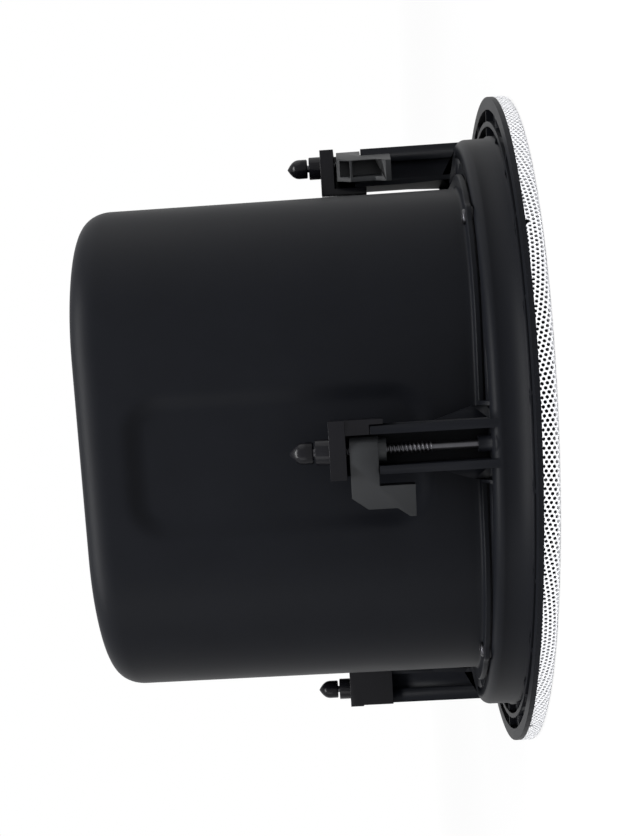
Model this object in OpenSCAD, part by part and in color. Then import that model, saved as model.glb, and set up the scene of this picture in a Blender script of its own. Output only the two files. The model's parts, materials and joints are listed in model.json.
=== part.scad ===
// Ceiling loudspeaker with a round baffle, a square back can and four
// swing-out clamps. It stands on its grille, with the can upwards, as it
// hangs in a ceiling. The origin is the centre of the grille's front face.

/* [Flange and grille] */
// Width of the trim flange round the drum
flange_w = 16.5; // [15:0.5:18]
// Thickness of the flange's outer lip
lip_t = 2; // [1.5:0.1:3]
// Radial width of the flange's outer flat ring
lip_w = 5; // [4:0.1:5.5]
// Height of the grille's rolled rim
grille_depth = 6; // [5.5:0.1:8]
// Thickness of the grille's sheet
grille_t = 0.9; // [0.7:0.05:1.2]
// Outer radius of the grille's rolled edge
grille_edge_r = 2; // [1.5:0.1:2.5]
// Pitch of the rings of holes in the grille
hole_pitch = 13.6; // [12.5:0.1:14]
// Across-corners radius of each grille hole
hole_r = 4; // [3:0.1:4.8]
// Diameter of the magnets that hold the grille
magnet_d = 8; // [6:0.5:8.5]

/* [Baffle] */
// Height of the drum behind the flange
drum_h = 13.3; // [12.5:0.1:15]
// Wall of the drum
drum_wall = 3; // [2.5:0.1:3.5]
// Thickness of the baffle plate
plate_t = 3; // [2.5:0.1:3.5]
// Rounding of the drum's rear shoulder
shoulder_r = 4; // [3:0.5:5]
// Width of the step round the foot of the drum
step_w = 0.8; // [0.5:0.1:1]
// Width of the groove in the drum's rear face
groove_w = 0.8; // [0.6:0.1:1.2]

/* [Back can] */
// Width of the can across its flat sides
can_w = 200; // [190:0.5:220]
// Length of the flat part of each side
can_flat = 76; // [74:0.5:78]
// Height of the can over the drum
can_h = 156.6; // [150:0.5:170]
// Wall of the can
can_wall = 2.5; // [2:0.1:3]
// Rounding round the can's rear face
can_edge_r = 6; // [5:0.5:8]
// Overhang of the can's mouth flange
can_rim_w = 5.5; // [5:0.1:6]
// Thickness of the can's mouth flange
can_rim_t = 2; // [1.5:0.1:2.5]
// Thickness of the pressed seal under the mouth flange
gasket_t = 0.8; // [0.5:0.1:1.2]
// Width of the sunk panel beside each clamp
panel_w = 58; // [54:0.5:60]
// Height of the sunk panel beside each clamp
panel_h = 120; // [110:0.5:122]
// Depth of the sunk panel
panel_depth = 2.5; // [1.5:0.1:3]
// How far the sunk panel lies to the folded arm's side
panel_shift = 3.5; // [2:0.1:4]
// Distance from the drum to the foot of the sunk panel
panel_from = 19; // [18:0.5:22]

/* [Clamps] */
// Distance of each clamp screw from the can's side
clamp_gap = 19.5; // [19:0.1:21]
// Distance of each clamp screw from the drum's edge
clamp_edge = 6; // [5.9:0.1:7]
// Height of the short rail over the drum
short_rail_h = 40.7; // [38:0.1:43]
// How much further the long rail reaches
long_rail_more = 2.8; // [2:0.1:4]
// Thickness of the swinging arm
arm_t = 10.7; // [10:0.1:10.9]
// Reach of the arm from its screw to its foot's tip
arm_reach = 25.4; // [24:0.1:26]
// Height of the arm's bar
arm_bar_h = 10.4; // [9:0.1:11]
// How far the arm's foot hangs below its bar
arm_drop = 13; // [11:0.1:14]
// Outer diameter of the clamp screw's thread
thread_d = 3.9; // [3.8:0.01:3.94]
// Diameter of the clamp screw's plain shank
shank_d = 3.2; // [3:0.05:3.4]
// Height over the drum at which the screw's thread starts
thread_from = 21.3; // [15:0.5:25]
// Width of the cap across each post
cap_w = 21.4; // [21:0.1:22]
// Thickness of the cap's plate
cap_t = 6; // [5:0.1:7]
// Height of the collar on the cap
collar_h = 5.2; // [4.5:0.1:6]
// Diameter of the pointed tip on the screw
tip_d = 8.2; // [7.5:0.1:9]
// Length of the pointed tip
tip_len = 8.9; // [8:0.1:10]

/* [Woofer] */
// Outer diameter of the woofer's frame
frame_d = 168; // [160:0.5:172]
// Overlap of the woofer's frame on the baffle plate
frame_rim_w = 10; // [9:0.5:11]
// Width of the surround's half roll
roll_w = 11; // [10:0.5:12]
// Depth of the woofer's basket behind the baffle plate
basket_h = 39.7; // [38:0.1:42]
// Diameter of the centre pole
pole_d = 25; // [24.6:0.1:25.2]
// Diameter of the ferrite magnet
ferrite_d = 84; // [76:0.5:90]
// Thickness of the ferrite magnet
ferrite_t = 15; // [13:0.5:18]
// Thickness of the two steel pole plates
pole_plate_t = 5; // [4:0.5:6]
// Diameter of the tweeter's ring
tweeter_d = 38; // [34:0.5:40]

/* [Back wiring] */
// Length of the wiring pocket's opening
pocket_l = 90; // [86:0.5:94]
// Width of the wiring pocket's opening
pocket_w = 60; // [56:0.5:62]
// Depth of the wiring pocket
pocket_depth = 30; // [28:0.5:34]
// Bore of the cable grommet
grommet_bore_d = 10; // [8:0.5:11]
// Width of the transformer's core
core_w = 56; // [50:1:60]
// Height of the transformer's core
core_h = 46; // [40:1:50]
// Stack thickness of the transformer's core
core_t = 22; // [18:1:24]
// Length of the crossover board
board_l = 72; // [68:1:80]
// Width of the crossover board
board_w = 44; // [42:1:50]

/* [Hidden] */
$fn = 96;

black = [0.13, 0.13, 0.145];
dark = [0.2, 0.2, 0.22];
steel = [0.72, 0.73, 0.75];
eps = 0.01;
touch = 0.3;
run_gap = 0.05;

// Levels from the grille's face upwards
z_lip = grille_depth;
z_flange = z_lip + lip_t;
z_front = grille_t + 1.1;
floor_t = 2.5;
z_drum = z_flange + drum_h;
z_plate = z_drum - plate_t;
z_rim = z_drum + gasket_t;
z_can = z_drum + can_h;
z_short = z_drum + short_rail_h;
z_long = z_short + long_rail_more;
z_bar = z_short + touch;
z_arm_top = z_bar + arm_bar_h;
z_cap = z_arm_top + 1.2;
z_collar = z_cap + cap_t;
z_tip = z_collar + collar_h + 0.8;
z_thread = z_drum + thread_from;
z_step = z_flange - 0.1;

// Radii of the clamps, the drum and the flange, from the can outwards
clamp_r = can_w / 2 + clamp_gap;
drum_r = clamp_r + clamp_edge;
flange_r = drum_r + flange_w;
can_corner_r = (can_w - can_flat) / 2;
corner_reach = can_corner_r + can_flat / sqrt(2);
skirt_in = drum_r - drum_wall;
body_r = flange_r - grille_t - 1.1;
mid_rib_r = (drum_r + flange_r - lip_w) / 2;
mid_rib_t = 2;
spoke_t = 1.2;
spokes = 24;
groove_r = drum_r - 7;
groove_depth = 0.5;
woofer_hole_d = frame_d - 2 * frame_rim_w;

// Woofer's levels
z_frame = z_plate - 3;
z_basket = z_drum + basket_h - 3;
z_front_plate = z_basket + 3;
z_ferrite = z_front_plate + pole_plate_t;
z_rear_plate = z_ferrite + ferrite_t;
z_motor = z_rear_plate + pole_plate_t;
pole_r = pole_d / 2;
former_in = pole_r + touch;
former_out = former_in + 0.3;
winding_out = former_out + 0.5;
gap_r = winding_out + 0.4;
z_neck = z_front_plate - 14;
z_spider = z_front_plate - 9;
roll_r = roll_w / 2;
surround_r = woofer_hole_d / 2 + 1.5;
cone_r = surround_r - roll_w - 2.5;
stem_r = 3;
frame_screw_r = frame_d / 2 - 4;
seat_ring_r = pole_r + 9.5;
basket_floor_r = ferrite_d / 2;
z_tweeter = z_neck - 18;

// Clamp geometry, across the post
rail_in = 5.75;
rail_out = 8.75;
web_out = 9;
rail_recess = 1.8;
post_back = -10.5;
post_front = 5.5;
lip_from = -0.5;
hub_r = arm_t / 2;
foot_inner = 13.2;
crease_v = 4.4;
arm_tip_u = sqrt(pow(drum_r, 2) - pow(arm_reach, 2)) - clamp_r;
cap_out = clamp_edge;
cap_in = -13.7;
boss_r = 3;
head_r = 3.6;
head_seat = z_plate - 6.3;
screw_bore_r = thread_d / 2 + 0.15;
tube_r = 5.6;

// Corner screws of the can
can_screw_r = corner_reach + 3.5;
can_screw_shank_r = 1.5;
ear_r = 4.6;

// Wiring pocket on the can's rear face
pocket_y = -38;
pocket_wall = 2.5;
pocket_step = 5;
z_cover = z_can - 6;
cover_t = 2;
z_pocket = z_can - pocket_depth;
cover_screw_x = pocket_l / 2 - 2.8;
grommet_y = pocket_y + 14;
z_board = z_pocket - pocket_wall - 6.6;
board_hole_x = board_l / 2 - 5;
board_hole_y = board_w / 2 - 5;
transformer_y = 42;
core_bar = core_w / 6;
bracket_t = 1.5;
z_bracket = z_can - can_wall - bracket_t;

// Power selector, halfway between the woofer's frame and the can's corner
selector_r = (frame_d / 2 + corner_reach - can_wall) / 2;
knob_r = 8;
switch_r = 9.4;
knob_shaft_r = 3;

module at_clamp(i) {
    rotate([0, 0, 90 * i]) translate([clamp_r, 0, 0]) children();
}

module at_corners(r) {
    for (i = [0 : 3]) rotate([0, 0, 45 + 90 * i]) translate([r, 0, 0]) children();
}

// A rectangle with true round corners
module rounded_rect(w, h, r) {
    square([w - 2 * r, h], center = true);
    square([w, h - 2 * r], center = true);
    for (x = [-1, 1], y = [-1, 1])
        translate([x * (w / 2 - r), y * (h / 2 - r)]) circle(r);
}

// Half of an upright section: straight sides and a rounded top corner
module side_section(half, h, e) {
    square([half, h - e]);
    square([half - e, h]);
    translate([half - e, h - e]) circle(e);
}

// A square block with round upright corners and a rounded top edge
module soft_block(w, r, z0, z1, e) {
    h = z1 - z0;
    flat = w - 2 * r;
    translate([0, 0, z0]) {
        for (turn = [0, 90]) rotate([90, 0, turn])
            linear_extrude(flat, center = true) {
                side_section(w / 2, h, e);
                mirror([1, 0]) side_section(w / 2, h, e);
            }
        for (x = [-1, 1], y = [-1, 1]) translate([x * flat / 2, y * flat / 2, 0])
            rotate_extrude() side_section(r, h, e);
    }
}

// Section of the flange, its back ribs, the drum and the plate
module baffle_section() {
    translate([body_r - 3, z_front]) square([3, z_flange - z_front]);
    translate([flange_r - lip_w, z_lip]) square([lip_w, lip_t]);
    translate([skirt_in, z_front]) square([body_r - skirt_in, floor_t]);
    translate([mid_rib_r - mid_rib_t / 2, z_front]) square([mid_rib_t, z_flange - z_front]);
    translate([skirt_in, z_front]) square([drum_wall, z_drum - shoulder_r - z_front]);
    translate([skirt_in, z_front]) square([drum_wall + step_w, z_step - z_front]);
    translate([drum_r - shoulder_r, z_drum - shoulder_r]) circle(shoulder_r);
    difference() {
        translate([woofer_hole_d / 2, z_plate])
            square([drum_r - shoulder_r - woofer_hole_d / 2, plate_t]);
        translate([groove_r - groove_w / 2, z_drum - groove_depth])
            square([groove_w, groove_depth + 1]);
    }
}

module flange_spokes() {
    for (i = [0 : spokes - 1]) rotate([0, 0, (i + 0.5) * 360 / spokes])
        translate([drum_r - 1, -spoke_t / 2, z_front + 1])
            cube([flange_r - lip_w - drum_r + 2, spoke_t, z_flange - z_front - 1.4]);
}

// One post: a channel open outwards, a short rail and a long one
module post() {
    back_t = 2.5;
    foot = shoulder_r;
    translate([post_back, -web_out, z_drum - 1])
        cube([back_t, 2 * web_out, z_long - z_drum + 1]);
    for (side = [-1, 1]) {
        top = side < 0 ? z_short : z_long;
        rail_y = side < 0 ? -rail_out : rail_in;
        wall_y = side < 0 ? -rail_out + rail_recess : rail_in;
        translate([lip_from, rail_y, z_drum - foot])
            cube([post_front - lip_from, rail_out - rail_in, top - z_drum + foot]);
        translate([post_back + 1, wall_y, z_drum - 1])
            cube([lip_from - post_back, rail_out - rail_in - rail_recess, top - z_drum + 1]);
    }
    translate([0, 0, z_drum - 1]) cylinder(h = 5.7, r = boss_r);
}

// Braces at the foot of a post: two flat wings and two upright ribs
module post_braces() {
    wing_h = 19.7;
    wing_w = 15;
    rib_t = 1.5;
    for (turn = [0, 1]) mirror([0, turn, 0]) {
        translate([post_back, 0, 0]) rotate([90, 0, 90]) linear_extrude(2)
            polygon([[web_out - 1, z_drum - 1], [wing_w, z_drum - 1], [wing_w, z_drum + 1],
                     [web_out, z_drum + wing_h], [web_out - 1, z_drum + wing_h]]);
        translate([0, wing_w, 0]) rotate([90, 0, 0]) linear_extrude(rib_t)
            polygon([[post_back - 2.6, z_drum - 1], [1, z_drum - 1], [1, z_drum + 1.5],
                     [post_back - 1, z_drum + 10], [post_back - 2.6, z_drum + 10]]);
    }
}

module baffle() {
    color(black) difference() {
        union() {
            rotate_extrude() baffle_section();
            flange_spokes();
            for (i = [0 : 3]) at_clamp(i) {
                post();
                post_braces();
                translate([0, 0, z_front + 2])
                    cylinder(h = z_drum - z_front - 3, r = tube_r);
            }
            at_corners(can_screw_r)
                translate([0, 0, z_plate - 9]) cylinder(h = 10, r = 3.4);
            at_corners(frame_screw_r)
                translate([0, 0, z_plate + 1]) cylinder(h = plate_t + 8, r = 3.8);
            for (i = [0 : 5]) rotate([0, 0, 60 * i]) translate([mid_rib_r, 0, z_front])
                cylinder(h = 4, r = magnet_d / 2 + 1.2);
        }
        for (i = [0 : 3]) at_clamp(i) {
            translate([0, 0, z_front - 1]) cylinder(h = head_seat - z_front + 1, r = head_r + 0.4);
            translate([0, 0, z_front]) cylinder(h = z_drum + 10, r = screw_bore_r);
        }
        at_corners(can_screw_r)
            translate([0, 0, z_plate - 7]) cylinder(h = 20, r = can_screw_shank_r);
        at_corners(frame_screw_r)
            translate([0, 0, z_plate - 1]) cylinder(h = plate_t + 8, r = 1.5);
        for (i = [0 : 5]) rotate([0, 0, 60 * i]) translate([mid_rib_r, 0, z_front - 1])
            cylinder(h = 3, r = magnet_d / 2);
        rotate([0, 0, 45]) translate([selector_r, 0, z_front])
            cylinder(h = z_drum, r = knob_shaft_r + 0.4);
    }
}

// Outline of the can's mouth flange, less an inset
module rim_outline(inset) {
    intersection() {
        union() {
            rounded_rect(can_w + 2 * (can_rim_w - inset), can_w + 2 * (can_rim_w - inset),
                         can_corner_r + can_rim_w - inset);
            at_corners(can_screw_r) circle(ear_r - inset);
        }
        circle(drum_r - 1);
    }
}

// The sunk panel beside a clamp, as a cutter with sloping sides
module panel_cutter() {
    slope = 8.5;
    z_mid = z_drum + panel_from + panel_h / 2;
    translate([can_w / 2, -panel_shift, z_mid]) rotate([90, 0, 90]) hull() {
        translate([0, 0, -panel_depth]) linear_extrude(eps)
            rounded_rect(panel_w - 2 * slope, panel_h - 2 * slope, 8, $fn = 32);
        translate([0, 0, 1]) linear_extrude(eps)
            rounded_rect(panel_w + 1, panel_h + 1, 14, $fn = 32);
    }
}

// The inside of the wall behind a sunk panel
module panel_backing() {
    z_mid = z_drum + panel_from + panel_h / 2;
    translate([can_w / 2 - can_wall - panel_depth, -panel_shift, z_mid]) rotate([90, 0, 90])
        linear_extrude(panel_depth + 1) rounded_rect(panel_w - 6, panel_h - 6, 12);
}

module back_can() {
    inner_w = can_w - 2 * can_wall;
    color(black) difference() {
        union() {
            difference() {
                union() {
                    soft_block(can_w, can_corner_r, z_rim, z_can, can_edge_r);
                    translate([0, 0, z_rim]) linear_extrude(can_rim_t) rim_outline(0);
                }
                soft_block(inner_w, can_corner_r - can_wall, z_rim - 1, z_can - can_wall,
                           can_edge_r - can_wall);
            }
            for (i = [0 : 3]) rotate([0, 0, 90 * i]) panel_backing();
            translate([0, pocket_y, z_pocket - pocket_wall]) {
                linear_extrude(pocket_depth - can_edge_r + pocket_wall + 3)
                    rounded_rect(pocket_l - 2 * pocket_step + 2 * pocket_wall,
                                 pocket_w - 2 * pocket_step + 2 * pocket_wall, 4);
            }
            translate([0, pocket_y, z_cover - 4]) linear_extrude(z_can - z_cover + 3)
                rounded_rect(pocket_l + 2 * pocket_wall, pocket_w + 2 * pocket_wall, 6);
        }
        for (i = [0 : 3]) rotate([0, 0, 90 * i]) panel_cutter();
        translate([0, pocket_y, z_cover]) linear_extrude(20)
            rounded_rect(pocket_l, pocket_w, 4);
        translate([0, pocket_y, z_pocket]) linear_extrude(pocket_depth)
            rounded_rect(pocket_l - 2 * pocket_step, pocket_w - 2 * pocket_step, 3);
        for (x = [-1, 1]) translate([x * cover_screw_x, pocket_y, z_cover - 3.4])
            cylinder(h = 10, r = 1.2);
        at_corners(can_screw_r) translate([0, 0, z_rim - 1]) cylinder(h = 10, r = 1.7);
    }
}

module can_gasket() {
    color("dimgray") translate([0, 0, z_drum]) linear_extrude(gasket_t) difference() {
        rim_outline(1);
        rounded_rect(can_w - 6, can_w - 6, can_corner_r - 3);
        at_corners(can_screw_r) circle(1.7);
    }
}

// A pan-head screw: its head's underside lies at z
module pan_screw(z, head, head_h, shank, len) {
    translate([0, 0, z]) cylinder(h = head_h, r = head);
    translate([0, 0, z - len]) cylinder(h = len + eps, r = shank);
}

module can_screws() {
    color(dark) at_corners(can_screw_r) difference() {
        pan_screw(z_rim + can_rim_t, 3, 2.4, can_screw_shank_r, 9);
        translate([0, 0, z_rim + can_rim_t + 1.2]) cylinder(h = 3, r = 1.3, $fn = 6);
    }
}

// Rings of six-sided holes, each ring with six holes more than the last
module hole_rings() {
    circle(hole_r, $fn = 6);
    for (k = [1 : floor((flange_r - hole_r - 5) / hole_pitch)])
        for (j = [0 : 6 * k - 1]) rotate(j * 60 / k) translate([k * hole_pitch, 0])
            circle(hole_r, $fn = 6);
}

module grille() {
    e = grille_edge_r;
    inner = e - grille_t;
    color("white") {
        linear_extrude(grille_t) difference() {
            circle(flange_r - e);
            hole_rings();
        }
        rotate_extrude() difference() {
            union() {
                translate([flange_r - e, e]) circle(e);
                translate([flange_r - grille_t, e]) square([grille_t, grille_depth - e]);
            }
            translate([flange_r - e, e]) circle(inner);
            translate([flange_r - 2 * e - 1, e]) square([2 * e + 1 - grille_t, 2 * e]);
            translate([flange_r - 2 * e - 1, -1]) square([e + 1, 3 * e + 2]);
        }
    }
}

module grille_magnets() {
    color(steel) for (i = [0 : 5]) rotate([0, 0, 60 * i]) translate([mid_rib_r, 0, 0])
        translate([0, 0, grille_t + touch])
            cylinder(h = z_front + 2 - grille_t - touch, r = magnet_d / 2);
}

// The arm's side outline: a bar from the hub outwards and a foot that hangs down
module arm_outline() {
    body = arm_reach - 3.4;
    polygon([[0, z_bar], [0, z_arm_top], [-(body - 4.5), z_arm_top],
             [-body, z_arm_top - 6], [-body, z_bar - 6.2],
             [-arm_reach, z_bar - 10.7], [-arm_reach, z_bar - arm_drop],
             [-foot_inner, z_bar - arm_drop], [-foot_inner, z_bar]]);
}

// The arm's plan: its outer face turns inwards past the hub, to stay over the drum
module arm_plan() {
    polygon([[-hub_r, hub_r], [hub_r, hub_r], [hub_r, -crease_v], [arm_tip_u, -arm_reach],
             [arm_tip_u, -arm_reach - 1], [-hub_r, -arm_reach - 1]]);
}

module clamp_arm(i) {
    body = arm_reach - 3.4;
    collar = 3;
    pocket_u = arm_t - 4;
    color(dark) at_clamp(i) difference() {
        union() {
            intersection() {
                rotate([90, 0, 90]) linear_extrude(arm_t, center = true) arm_outline();
                translate([0, 0, z_bar - arm_drop - 1]) linear_extrude(arm_drop + arm_bar_h + 2)
                    arm_plan();
            }
            translate([0, 0, z_bar]) cylinder(h = arm_bar_h, r = hub_r);
            translate([0, 0, z_bar - collar]) cylinder(h = collar + 1, r = hub_r - 1);
        }
        translate([-pocket_u / 2, -body - 5, z_bar - 9]) cube([pocket_u, 11, 12.5]);
        translate([-pocket_u / 2, -body - 5, z_bar + 4.7]) cube([pocket_u, 11, 4.2]);
        translate([0, 0, z_bar - collar - 1])
            cylinder(h = arm_bar_h + collar + 2, r = thread_d / 2 + run_gap);
    }
}

module clamp_screw(i) {
    color(steel) at_clamp(i) difference() {
        union() {
            translate([0, 0, head_seat - 3]) cylinder(h = 2.8, r = head_r);
            translate([0, 0, head_seat - 0.3]) cylinder(h = z_thread - head_seat + 0.3, r = shank_d / 2);
            translate([0, 0, z_thread]) cylinder(h = z_collar + collar_h - z_thread, r = thread_d / 2);
            translate([0, 0, z_collar + collar_h - 1]) cylinder(h = 6, r = 1.5);
        }
        for (turn = [0, 90]) rotate([0, 0, turn])
            translate([-2.2, -0.5, head_seat - 4]) cube([4.4, 1, 2.4]);
    }
}

module clamp_cap(i) {
    half = cap_w / 2;
    depth = cap_out - cap_in;
    leg_z = z_long + touch;
    color(black) at_clamp(i) difference() {
        union() {
            translate([cap_in, -half + 0.5, z_cap]) cube([depth, cap_w, cap_t]);
            translate([cap_in, rail_out + 0.6, leg_z - 5])
                cube([depth - 0.5, half + 0.5 - rail_out - 0.6, z_cap - leg_z + 5 + eps]);
            translate([cap_in, rail_in, leg_z])
                cube([depth - 0.5, half + 0.5 - rail_in, z_cap - leg_z + eps]);
            translate([cap_in, -half + 0.5, leg_z - 5])
                cube([post_back - touch - cap_in, cap_w, z_cap - leg_z + 5 + eps]);
            translate([0, 0, z_collar - 1]) cylinder(h = collar_h + 1, r = 4.8);
        }
        translate([0, 0, z_cap - 1])
            cylinder(h = cap_t + collar_h + 2, r = thread_d / 2 + run_gap);
    }
}

module screw_tip(i) {
    r = tip_d / 2;
    nose = 5.4;
    color(black) at_clamp(i) difference() {
        translate([0, 0, z_tip]) rotate_extrude()
            polygon(concat([[0, 0], [r, 0]],
                [for (k = [0 : 8]) let (t = k / 8)
                    [r * (1 - pow(t, 2.2)), tip_len - nose + nose * t]]));
        translate([0, 0, z_tip - 1]) cylinder(h = z_collar + collar_h + 5 - z_tip + 1, r = 1.5);
    }
}

// Woofer's basket: a rim, six struts, a spider shelf and a motor seat
module woofer_frame() {
    mouth = woofer_hole_d / 2 - 0.5;
    floor_r = basket_floor_r;
    seat_r = gap_r + 5.7;
    color(dark) difference() {
        rotate_extrude() {
            translate([mouth - 3, z_frame]) square([frame_d / 2 - mouth + 3, z_plate - z_frame]);
            polygon([[mouth - 3, z_frame], [mouth, z_frame], [mouth, z_drum + 2],
                     [floor_r, z_basket + 3], [seat_r, z_basket + 3], [seat_r, z_basket],
                     [floor_r - 5, z_basket], [floor_r - 5, z_spider + 1.2],
                     [floor_r - 1, z_spider + 1.2], [mouth - 3, z_drum + 1]]);
        }
        for (i = [0 : 5]) rotate([0, 0, 60 * i])
            translate([floor_r + 3, -16, z_drum + 4])
                cube([40, 32, z_spider - z_drum - 8]);
        at_corners(frame_screw_r) translate([0, 0, z_frame - 1]) cylinder(h = 6, r = 1.8);
    }
}

module woofer_gasket() {
    color("dimgray") translate([0, 0, z_frame - 2.2]) linear_extrude(1.2) difference() {
        circle(surround_r + 0.5);
        circle(surround_r - 1);
    }
}

module woofer_screws() {
    color(steel) at_corners(frame_screw_r) mirror([0, 0, 1])
        pan_screw(-z_frame, 3, 1.8, 1.5, 12);
}

// Cone: a thin straight-sided shell from the neck out to the surround
module cone() {
    shell = 0.9;
    z_edge = z_frame - 1;
    color("dimgray") rotate_extrude()
        polygon([[former_out, z_neck], [former_out, z_neck + 2.5],
                 [former_out + 1.6, z_neck + 2.5], [cone_r - 4, z_edge + shell],
                 [cone_r, z_edge + shell], [cone_r, z_edge], [cone_r - 5, z_edge]]);
}

// Surround: a half roll between the cone's edge and the rim
module surround() {
    mid = surround_r - roll_r - 2.2;
    z = z_frame - 1;
    color("black") rotate_extrude() {
        difference() {
            translate([mid, z]) circle(roll_r);
            translate([mid, z]) circle(roll_r - 0.8);
            translate([mid - 10, z]) square([20, 10]);
        }
        translate([mid + roll_r - 0.8, z]) square([3, 0.8]);
    }
}

module coil_former() {
    color("tan") translate([0, 0, z_neck]) linear_extrude(z_ferrite + 2 - z_neck) difference() {
        circle(former_out);
        circle(former_in);
    }
}

module coil_winding() {
    color("peru") translate([0, 0, z_front_plate - 1]) linear_extrude(pole_plate_t + 3)
        difference() {
            circle(winding_out);
            circle(former_out);
        }
}

// Spider: a corrugated ring between the former and the basket's shelf
module spider() {
    waves = 4;
    inner = former_out + 0.3;
    outer = basket_floor_r - 5.3;
    t = 0.6;
    steps = waves * 8;
    color("goldenrod") rotate_extrude() polygon(concat(
        [for (k = [0 : steps]) [inner + (outer - inner) * k / steps,
            z_spider + 1 * sin(360 * waves * k / steps)]],
        [for (k = [steps : -1 : 0]) [inner + (outer - inner) * k / steps,
            z_spider + t + 1 * sin(360 * waves * k / steps)]]));
}

module front_pole_plate() {
    color(steel) translate([0, 0, z_front_plate]) linear_extrude(pole_plate_t) difference() {
        circle(ferrite_d / 2 - 3);
        circle(gap_r);
    }
}

module ferrite_magnet() {
    color([0.25, 0.25, 0.27]) translate([0, 0, z_ferrite]) linear_extrude(ferrite_t)
        difference() {
            circle(ferrite_d / 2);
            circle(seat_ring_r);
        }
}

module rear_pole_plate() {
    color(steel) difference() {
        union() {
            translate([0, 0, z_rear_plate]) cylinder(h = pole_plate_t, r = ferrite_d / 2 - 3);
            translate([0, 0, z_front_plate - 1])
                cylinder(h = z_rear_plate - z_front_plate + 2, r = pole_r);
        }
        translate([0, 0, z_front_plate - 2]) cylinder(h = 60, r = stem_r);
    }
}

module tweeter_stem() {
    color(steel) translate([0, 0, z_tweeter]) cylinder(h = z_motor + 8 - z_tweeter, r = stem_r);
}

module stem_nut() {
    color(steel) translate([0, 0, z_motor]) difference() {
        cylinder(h = 5, r = 5.8, $fn = 6);
        translate([0, 0, -1]) cylinder(h = 7, r = stem_r);
    }
}

module tweeter_housing() {
    color(dark) difference() {
        translate([0, 0, z_tweeter - 8]) cylinder(h = 18, r = 12);
        translate([0, 0, z_tweeter - 9]) cylinder(h = 15, r = 10.2);
        translate([0, 0, z_tweeter]) cylinder(h = 12, r = stem_r);
    }
}

module tweeter_magnet() {
    color(steel) translate([0, 0, z_tweeter - 5]) cylinder(h = 5, r = 10);
}

module tweeter_dome() {
    z = z_tweeter - 5 - 2.2;
    dome_r = 12;
    base_r = 8.5;
    sink = sqrt(dome_r * dome_r - base_r * base_r);
    color("gray") difference() {
        intersection() {
            translate([0, 0, z + sink]) sphere(dome_r);
            translate([0, 0, z - 10]) cylinder(h = 10, r = base_r);
        }
        translate([0, 0, z + sink]) sphere(dome_r - 0.5);
    }
}

// Ring round the dome, widening forwards as a short horn
module tweeter_ring() {
    r = tweeter_d / 2;
    z = z_tweeter - 8;
    color(dark) rotate_extrude()
        polygon([[9, z], [9, z - 1.5], [12, z - 4], [r - 1, z - 5.5], [r, z - 5],
                 [r, z - 3.5], [12, z]]);
}

module crossover_board() {
    color("seagreen") translate([0, pocket_y, z_board]) linear_extrude(1.6) difference() {
        square([board_l, board_w], center = true);
        for (x = [-1, 1], y = [-1, 1])
            translate([board_hole_x * x, board_hole_y * y]) circle(1.5);
    }
}

module board_posts() {
    color(steel) for (x = [-1, 1], y = [-1, 1])
        translate([board_hole_x * x, pocket_y + board_hole_y * y, z_board + 1.6]) {
        cylinder(h = 5, r = 3);
        translate([0, 0, -1.6]) cylinder(h = 1.7, r = 1.5);
        translate([0, 0, -3.4]) cylinder(h = 1.8, r = 2.8);
    }
}

module crossover_coil() {
    color("peru") translate([-board_l / 4, pocket_y, z_board - 14]) linear_extrude(14) difference() {
        circle(13);
        circle(6);
    }
}

module crossover_capacitors() {
    color("royalblue") for (x = [6, 22]) translate([x, pocket_y + 15, z_board - 6.5])
        rotate([90, 0, 0]) cylinder(h = 30, r = 6.5);
}

module transformer_core() {
    color(dark) translate([0, transformer_y, z_bracket - core_h]) difference() {
        translate([-core_w / 2, -core_t / 2, 0]) cube([core_w, core_t, core_h]);
        for (x = [-2 * core_bar, core_bar]) translate([x, -core_t / 2 - 1, core_bar])
            cube([core_bar, core_t + 2, core_h - 2 * core_bar]);
    }
}

module transformer_winding() {
    z = z_bracket - core_h + core_bar + 0.1;
    color("khaki") translate([0, transformer_y, z])
        linear_extrude(core_h - 2 * core_bar - 0.2) difference() {
            square([4 * core_bar - 0.4, core_t + 16], center = true);
            square([2 * core_bar + 0.4, core_t + 0.4], center = true);
        }
}

module transformer_bracket() {
    color(steel) translate([0, transformer_y, z_bracket]) linear_extrude(bracket_t) difference() {
        square([core_w + 28, core_t], center = true);
        for (x = [-1, 1]) translate([(core_w / 2 + 7) * x, 0]) circle(1.8);
    }
}

module transformer_screws() {
    color(steel) for (x = [-1, 1]) translate([(core_w / 2 + 7) * x, transformer_y, z_bracket]) {
        translate([0, 0, -2.2]) cylinder(h = 2.2, r = 3.2);
        cylinder(h = bracket_t, r = 1.8);
    }
}

module terminal_block() {
    color("darkgreen") translate([0, pocket_y - 6, z_pocket]) difference() {
        translate([-30, -8, 0]) cube([60, 16, 12]);
        for (x = [-22.5 : 15 : 22.5]) {
            translate([x, 0, 3]) cylinder(h = 20, r = 2.6);
            translate([x - 3, -10, 3.5]) cube([6, 7, 5]);
        }
    }
}

module terminal_screws() {
    color(steel) for (x = [-22.5 : 15 : 22.5]) translate([x, pocket_y - 6, z_pocket + 3])
        difference() {
            cylinder(h = 7, r = 2.6);
            translate([-3, -0.4, 6]) cube([6, 0.8, 2]);
        }
}

module wiring_cover() {
    color(black) translate([0, pocket_y, z_cover]) difference() {
        linear_extrude(cover_t) rounded_rect(pocket_l - 2 * touch, pocket_w - 2 * touch, 3.7);
        translate([0, grommet_y - pocket_y, -1]) cylinder(h = 5, r = grommet_bore_d / 2 + 2);
        for (x = [-1, 1]) translate([x * cover_screw_x, 0, -1]) cylinder(h = 5, r = 1.5);
    }
}

module cover_screws() {
    color(steel) for (x = [-1, 1]) translate([x * cover_screw_x, pocket_y, 0])
        pan_screw(z_cover + cover_t, 2.2, 1.6, 1.2, cover_t + 3);
}

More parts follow.
